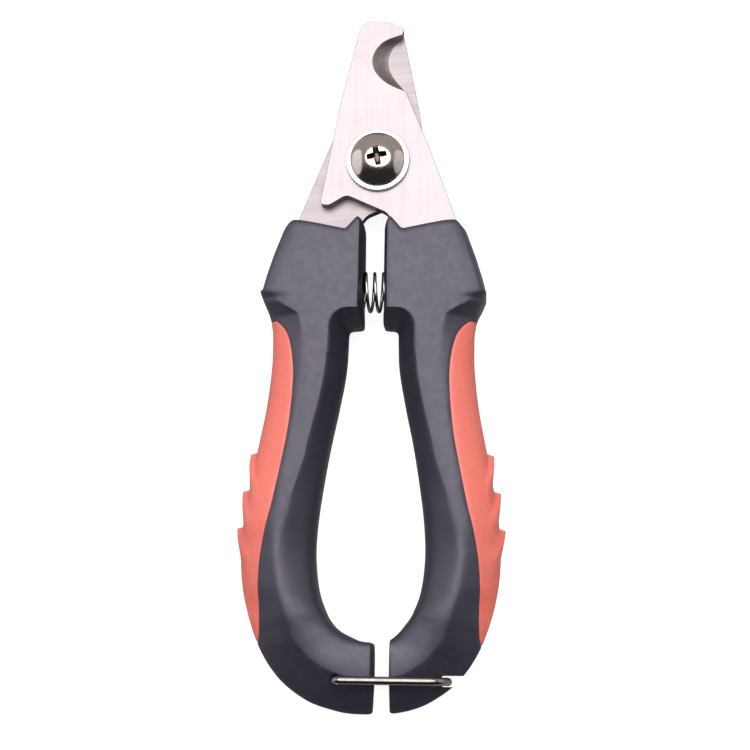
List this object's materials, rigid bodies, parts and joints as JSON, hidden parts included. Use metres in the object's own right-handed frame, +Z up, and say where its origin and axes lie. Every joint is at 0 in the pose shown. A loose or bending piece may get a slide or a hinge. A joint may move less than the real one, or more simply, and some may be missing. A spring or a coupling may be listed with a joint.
{
  "type": "pet nail trimmer",
  "caption": "Hand-held pet nail trimmer with crossing notched blades on a screw pivot, cushioned grips with finger teeth, a return spring and a wire lock.",
  "frame": {"origin": "under the middle of the whole tool, in the plane of the flat backs of the handles that it rests on", "axes": "+Y from the handles' feet towards the blade tips, +X to the right seen from the screw head's side, +Z up out of the screw head"},
  "size_m": [0.0594, 0.1578, 0.017],
  "materials": {
    "blade_steel": "flat ground stainless steel, fine brushed lines",
    "core_plastic": "hard moulded plastic, hidden",
    "grey_cover": "soft-touch blue-grey, matte",
    "coral_grip": "soft coral rubber, matte",
    "nickel_plate": "polished nickel plate",
    "zinc_plate": "dull zinc plate",
    "spring_steel": "bright nickel-plated wire"
  },
  "bodies": {
    "left_half": {"rear_blade": "blade_steel", "left_handle_core": "core_plastic", "left_handle_cover": "grey_cover", "left_grip_pad": "coral_grip", "pivot_screw": "nickel_plate", "front_washer": "nickel_plate", "pivot_sleeve": "zinc_plate", "rear_washer": "zinc_plate", "lock_nut": "zinc_plate", "return_spring": "spring_steel"},
    "right_half": {"front_blade": "blade_steel", "right_handle_core": "core_plastic", "right_handle_cover": "grey_cover", "right_grip_pad": "coral_grip"},
    "lock": {"lock_wire": "spring_steel"}
  },
  "joints": [
    {"name": "handle_hinge", "type": "hinge", "parent": "left_half", "child": "right_half", "pos_m": [0.0005, 0.0453, 0.0085], "axis": [0, 0, 1], "range_deg": [0, 27.5], "deforming": ["return_spring"]},
    {"name": "lock_swing", "type": "hinge", "parent": "left_half", "child": "lock", "pos_m": [-0.007, -0.07165, 0.0085], "axis": [0, 0, 1], "range_deg": [-195, 0]}
  ],
  "couplings": [
    {"joint": "lock_swing", "follows": "handle_hinge", "ratio": -7.09}
  ]
}
